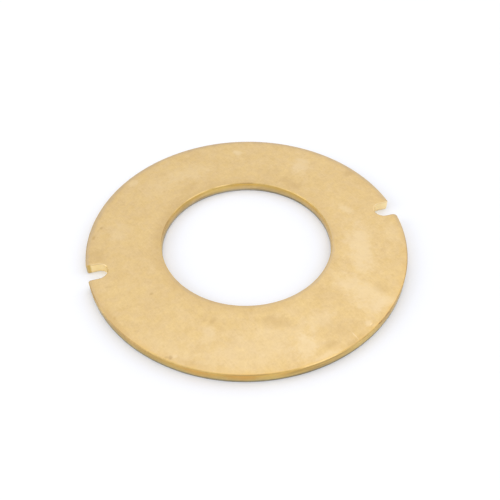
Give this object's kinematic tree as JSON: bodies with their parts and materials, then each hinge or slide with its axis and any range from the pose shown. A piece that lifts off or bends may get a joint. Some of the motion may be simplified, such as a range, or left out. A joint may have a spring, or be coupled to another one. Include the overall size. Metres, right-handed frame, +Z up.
{
  "type": "thrust washer",
  "caption": "Flat bronze ring washer with a large bore and opposite round-ended locating notches in its outer rim.",
  "frame": {"origin": "centre of the bore, on the underside that the washer lies on", "axes": "+Z up along the bore; X through both notches, so the washer's widest reach is along Y"},
  "size_m": [0.095, 0.0952, 0.0032],
  "materials": {
    "bronze": "satin, lightly stained and scratched"
  },
  "bodies": {
    "root": {"thrust_washer": "bronze"}
  },
  "joints": []
}
